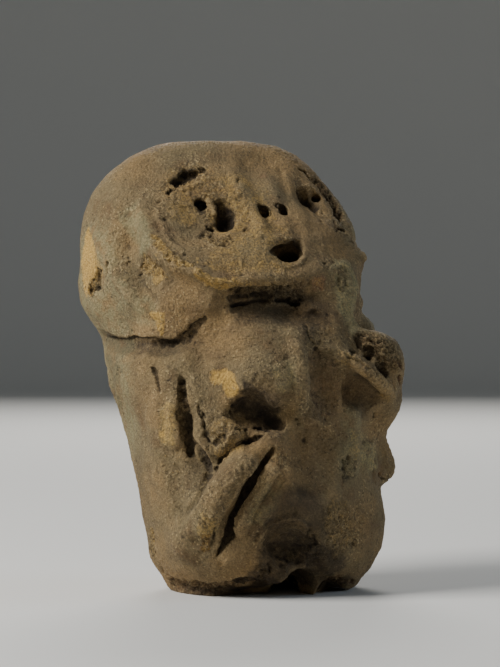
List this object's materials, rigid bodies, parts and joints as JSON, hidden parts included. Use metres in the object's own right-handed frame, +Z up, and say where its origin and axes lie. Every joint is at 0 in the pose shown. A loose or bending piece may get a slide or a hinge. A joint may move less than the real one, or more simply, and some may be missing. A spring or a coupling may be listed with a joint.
{
  "type": "terracotta ancestor figure",
  "caption": "Squat hand-modelled figure of fired clay: large head thrown back, pierced disc face, forearm across the belly, a breast broken away. Stands on its flat underside.",
  "frame": {"origin": "middle of the bounding box at the underside, on the surface it stands on", "axes": "+Z up, the figure faces -Y, and its left side is +X"},
  "size_m": [0.1322, 0.1388, 0.2003],
  "materials": {
    "terracotta": "matte unglazed low-fired earthenware, brown to grey, with ochre chips and soot"
  },
  "bodies": {
    "root": {"figure": "terracotta"}
  },
  "joints": []
}
